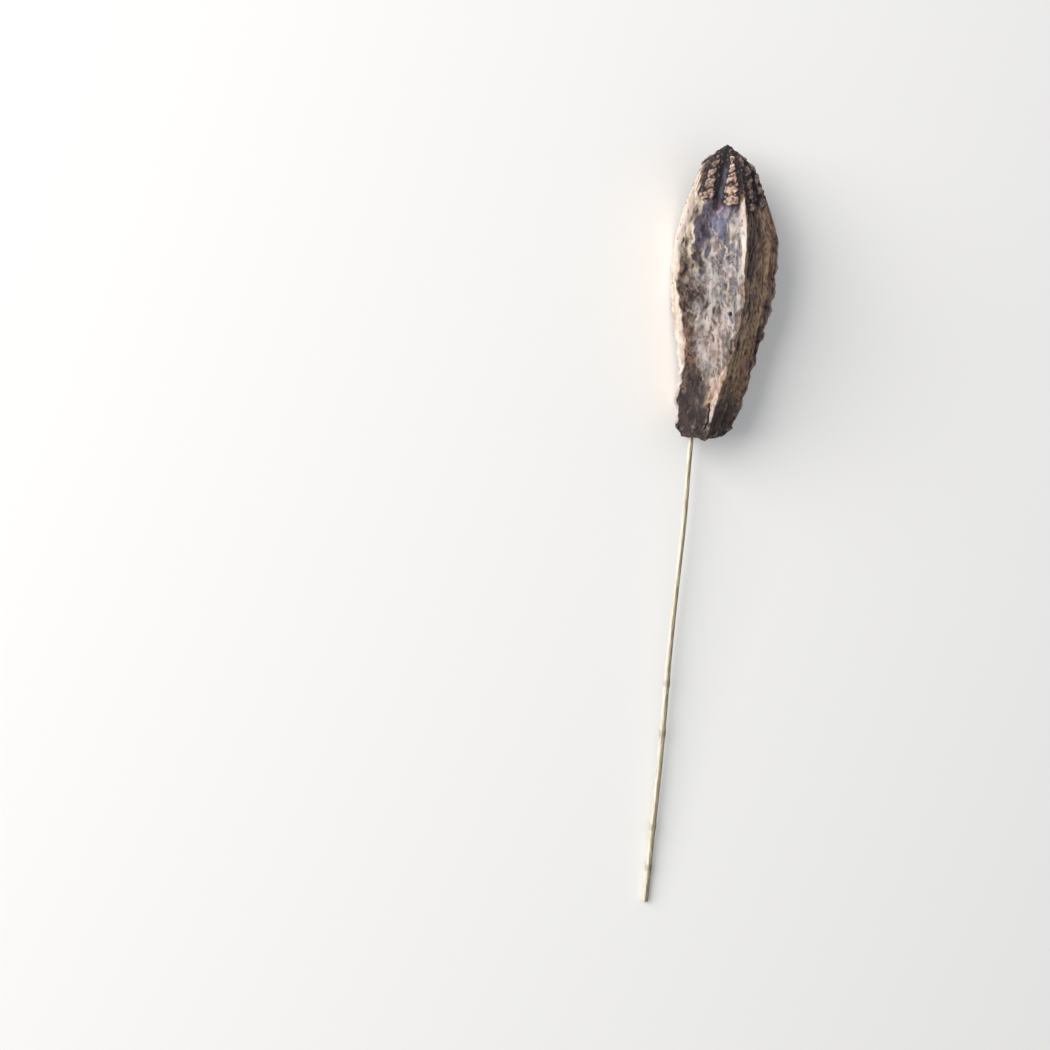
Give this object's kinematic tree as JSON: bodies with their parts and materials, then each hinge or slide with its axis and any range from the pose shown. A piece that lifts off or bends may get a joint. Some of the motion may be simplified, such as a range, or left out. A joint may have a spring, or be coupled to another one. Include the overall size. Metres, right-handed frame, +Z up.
{
  "type": "mahogany seed pod",
  "caption": "Dried woody core of a mahogany seed pod: pointed, ribbed and hollow-faced, with rows of seed scars under its apex, on a long thin cut twig for dry arrangements.",
  "frame": {"origin": "under the middle of the whole piece's box, on the surface that it lies on", "axes": "+X along the pod from its apex towards the twig's cut tip, +Z up from the surface"},
  "size_m": [0.3386, 0.0486, 0.0445],
  "materials": {
    "pod": "dry, matte, pale ribs with dark brown to blue-black stains",
    "stem": "dry grey-tan bark, slightly satin"
  },
  "bodies": {
    "root": {"pod": "pod", "stem": "stem"}
  },
  "joints": []
}
